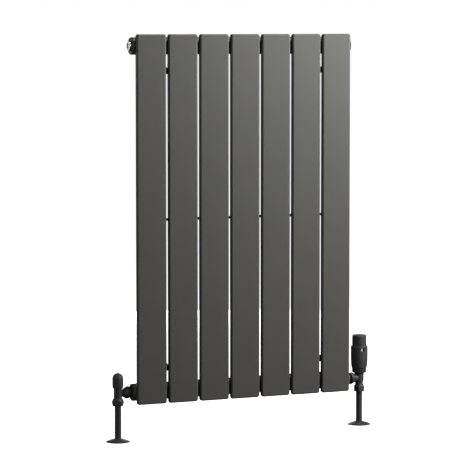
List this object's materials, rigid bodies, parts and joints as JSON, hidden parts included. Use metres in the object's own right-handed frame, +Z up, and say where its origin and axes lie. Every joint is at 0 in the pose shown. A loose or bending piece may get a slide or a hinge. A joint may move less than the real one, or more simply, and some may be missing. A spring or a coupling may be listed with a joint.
{
  "type": "radiator with valve",
  "caption": "Flat-panel column radiator on wall brackets, with an angled thermostatic valve and an angled lockshield valve on floor pipes.",
  "frame": {"origin": "centre of the four wall screws, on the wall plane", "axes": "+X to the right as the room sees it, +Y into the wall, +Z up; the panels face -Y"},
  "size_m": [0.7124, 0.0845, 0.991],
  "materials": {
    "anthracite_paint": "satin anthracite powder coat",
    "bracket_paint": "satin anthracite powder coat",
    "valve_black": "matt black coat on brass",
    "pipe_black": "matt black coat on copper pipe",
    "bright_nickel": "bright nickel plate on brass",
    "black_plastic": "fine matt texture",
    "scale_plastic": "printed with white and red marks",
    "bare_brass": "turned",
    "zinc_steel": "bright zinc plate",
    "stem_steel": "polished stainless",
    "spring_steel": "drawn wire",
    "sensor_metal": "drawn capsule",
    "seal_rubber": "matt"
  },
  "bodies": {
    "radiator": {"blank_plug": "anthracite_paint", "bottom_header": "anthracite_paint", "bracket_grub_screws": "zinc_steel", "bracket_post_bottom_left": "bracket_paint", "bracket_post_bottom_right": "bracket_paint", "bracket_post_top_left": "bracket_paint", "bracket_post_top_right": "bracket_paint", "bracket_sleeve_bottom_left": "bracket_paint", "bracket_sleeve_bottom_right": "bracket_paint", "bracket_sleeve_top_left": "bracket_paint", "bracket_sleeve_top_right": "bracket_paint", "hanging_straps": "anthracite_paint", "header_end_caps": "anthracite_paint", "lockshield_body": "valve_black", "lockshield_bonnet": "bare_brass", "lockshield_compression_nut": "valve_black", "lockshield_gland_ring": "seal_rubber", "lockshield_pipe": "pipe_black", "lockshield_tailpiece": "valve_black", "lockshield_union_nut": "valve_black", "olives": "bare_brass", "panel_1": "anthracite_paint", "panel_2": "anthracite_paint", "panel_3": "anthracite_paint", "panel_4": "anthracite_paint", "panel_5": "anthracite_paint", "panel_6": "anthracite_paint", "panel_7": "anthracite_paint", "plug_o_rings": "seal_rubber", "spacer_rod": "anthracite_paint", "tail_seals": "seal_rubber", "top_header": "anthracite_paint", "trv_barrel": "black_plastic", "trv_body": "valve_black", "trv_compression_nut": "valve_black", "trv_head_base": "black_plastic", "trv_insert": "bare_brass", "trv_pipe": "pipe_black", "trv_ring_nut": "black_plastic", "trv_tailpiece": "valve_black", "trv_union_nut": "valve_black", "vent_plug": "bright_nickel"},
    "lockshield_cap": {"lockshield_cap": "black_plastic"},
    "lockshield_jumper": {"lockshield_jumper": "bare_brass", "lockshield_washer": "seal_rubber"},
    "lockshield_spindle": {"lockshield_spindle": "bare_brass"},
    "trv_sensor": {"trv_sensor": "sensor_metal", "trv_push_pin": "stem_steel", "trv_overtravel_spring": "spring_steel"},
    "trv_knob": {"trv_knob": "black_plastic", "trv_scale_ring": "scale_plastic"},
    "trv_stem": {"trv_stem": "stem_steel", "trv_stem_washer": "seal_rubber", "trv_return_spring": "spring_steel"},
    "bleed_screw": {"bleed_screw": "bright_nickel"},
    "lockshield_floor_collar": {"lockshield_floor_collar": "valve_black"},
    "trv_floor_collar": {"trv_floor_collar": "valve_black"}
  },
  "joints": [
    {"name": "trv_sensor_travel", "type": "slide", "parent": "radiator", "child": "trv_sensor", "axis": [0, 0, 1], "range_m": [-0.0017, 0.0017]},
    {"name": "trv_knob_turn", "type": "hinge", "parent": "trv_sensor", "child": "trv_knob", "pos_m": [0.327, -0.055, -0.3615], "axis": [0, 0, 1], "range_deg": [-150.01, 150.01]},
    {"name": "trv_stem_travel", "type": "slide", "parent": "radiator", "child": "trv_stem", "axis": [0, 0, 1], "range_m": [-0.0017, 0.0017], "deforming": ["trv_return_spring"]},
    {"name": "lockshield_jumper_travel", "type": "slide", "parent": "radiator", "child": "lockshield_jumper", "axis": [0, 0, 1], "range_m": [-0.0015, 0.003]},
    {"name": "lockshield_spindle_turn", "type": "hinge", "parent": "lockshield_jumper", "child": "lockshield_spindle", "pos_m": [-0.327, -0.055, -0.4015], "axis": [0, 0, 1], "range_deg": [-360.01, 720.01]},
    {"name": "lockshield_cap_lift", "type": "slide", "parent": "radiator", "child": "lockshield_cap", "axis": [0, 0, 1], "range_m": [0, 0.04]},
    {"name": "bleed_screw_turn", "type": "hinge", "parent": "radiator", "child": "bleed_screw", "pos_m": [-0.29175, -0.055, 0.4215], "axis": [-1, 0, 0], "range_deg": [0, 360]},
    {"name": "lockshield_collar_lift", "type": "slide", "parent": "radiator", "child": "lockshield_floor_collar", "axis": [0, 0, 1], "range_m": [0, 0.074]},
    {"name": "trv_collar_lift", "type": "slide", "parent": "radiator", "child": "trv_floor_collar", "axis": [0, 0, 1], "range_m": [0, 0.07]}
  ],
  "couplings": [
    {"joint": "trv_knob_turn", "follows": "trv_sensor_travel", "rad_per_m": 1540},
    {"joint": "trv_stem_travel", "follows": "trv_sensor_travel", "ratio": 1},
    {"joint": "lockshield_spindle_turn", "follows": "lockshield_jumper_travel", "rad_per_m": 4188.8}
  ]
}
